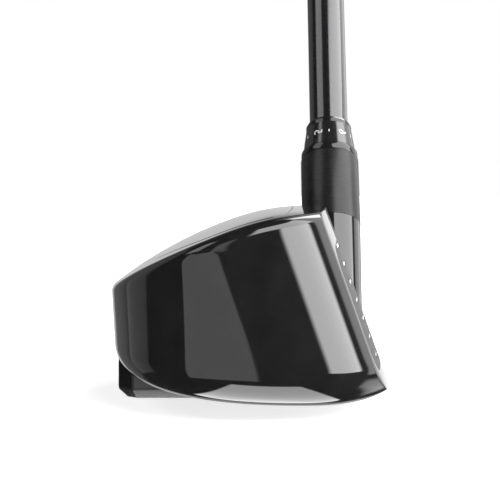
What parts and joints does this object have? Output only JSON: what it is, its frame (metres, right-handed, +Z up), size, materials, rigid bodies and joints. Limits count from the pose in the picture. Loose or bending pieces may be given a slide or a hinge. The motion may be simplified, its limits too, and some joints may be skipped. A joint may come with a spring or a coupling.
{
  "type": "hybrid golf club",
  "caption": "Hybrid golf club with a rounded hollow steel head, an adjustable splined loft sleeve, a tapered shaft and a rubber grip.",
  "frame": {"origin": "middle of the flat keel face that the sole rests on, in the address position", "axes": "+X towards the target, square to the face; +Y from the toe to the heel and up the shaft's lean; +Z up"},
  "size_m": [0.0604, 0.5921, 0.909],
  "materials": {
    "head_paint": "gloss black lacquer over cast steel",
    "face_steel": "satin black coated steel with white filled scorelines",
    "crown_paint": "gloss black lacquer",
    "slot_polymer": "soft matt black polymer",
    "collar_matt": "fine matt black coating",
    "seat_steel": "bare machined steel",
    "weight_metal": "satin dark coated steel",
    "retainer_nylon": "natural nylon",
    "screw_steel": "blackened steel",
    "ring_gloss": "gloss black plastic",
    "sleeve_anodised": "black anodised aluminium with pale tick marks",
    "o_ring_rubber": "black nitrile rubber",
    "shaft_lacquer": "dark grey satin lacquer over graphite composite",
    "plug_brass": "turned brass",
    "tape_paper": "double-sided paper tape",
    "grip_rubber": "moulded rubber with a fine tread"
  },
  "bodies": {
    "head": {"head_casting": "head_paint", "face_plate": "face_steel", "crown_panel": "crown_paint", "slot_filler": "slot_polymer", "hosel_collar": "collar_matt", "splined_seat": "seat_steel", "screw_retainer": "retainer_nylon"},
    "washer": {"hosel_washer": "screw_steel"},
    "sleeve_screw": {"hosel_screw": "screw_steel"},
    "puck": {"weight_puck": "weight_metal"},
    "puck_screw": {"weight_screw": "screw_steel"},
    "loose_ring": {"seat_ring": "ring_gloss"},
    "shaft_assembly": {"loft_sleeve": "sleeve_anodised", "o_ring": "o_ring_rubber", "shaft_ferrule": "ring_gloss", "shaft": "shaft_lacquer", "tip_plug": "plug_brass", "grip_tape": "tape_paper", "grip": "grip_rubber", "grip_cap": "grip_rubber"}
  },
  "joints": [
    {"name": "screw_out", "type": "slide", "parent": "head", "child": "washer", "axis": [0, -0.5, -0.866], "range_m": [0, 0.008]},
    {"name": "screw_turn", "type": "hinge", "parent": "washer", "child": "sleeve_screw", "pos_m": [0.0195, 0.0466, 0.00866], "axis": [0, -0.5, -0.866], "range_deg": [0, 3601]},
    {"name": "weight_out", "type": "slide", "parent": "head", "child": "puck", "axis": [0, 0, -1], "range_m": [0, 0.009]},
    {"name": "weight_turn", "type": "hinge", "parent": "puck", "child": "puck_screw", "pos_m": [-0.0145, 0, 0.005], "axis": [0, 0, -1], "range_deg": [0, 4051]},
    {"name": "sleeve_lift", "type": "slide", "parent": "head", "child": "loose_ring", "axis": [0, 0.5, 0.866], "range_m": [0, 0.036]},
    {"name": "sleeve_index", "type": "hinge", "parent": "loose_ring", "child": "shaft_assembly", "pos_m": [0.0195, 0.0666, 0.0433], "axis": [0, 0.5, 0.866], "range_deg": [0, 30.01]}
  ],
  "couplings": [
    {"joint": "screw_turn", "follows": "screw_out", "rad_per_m": 7854},
    {"joint": "weight_turn", "follows": "weight_out", "rad_per_m": 7854},
    {"joint": "sleeve_index", "follows": "sleeve_lift", "rad_per_m": 14.544}
  ]
}
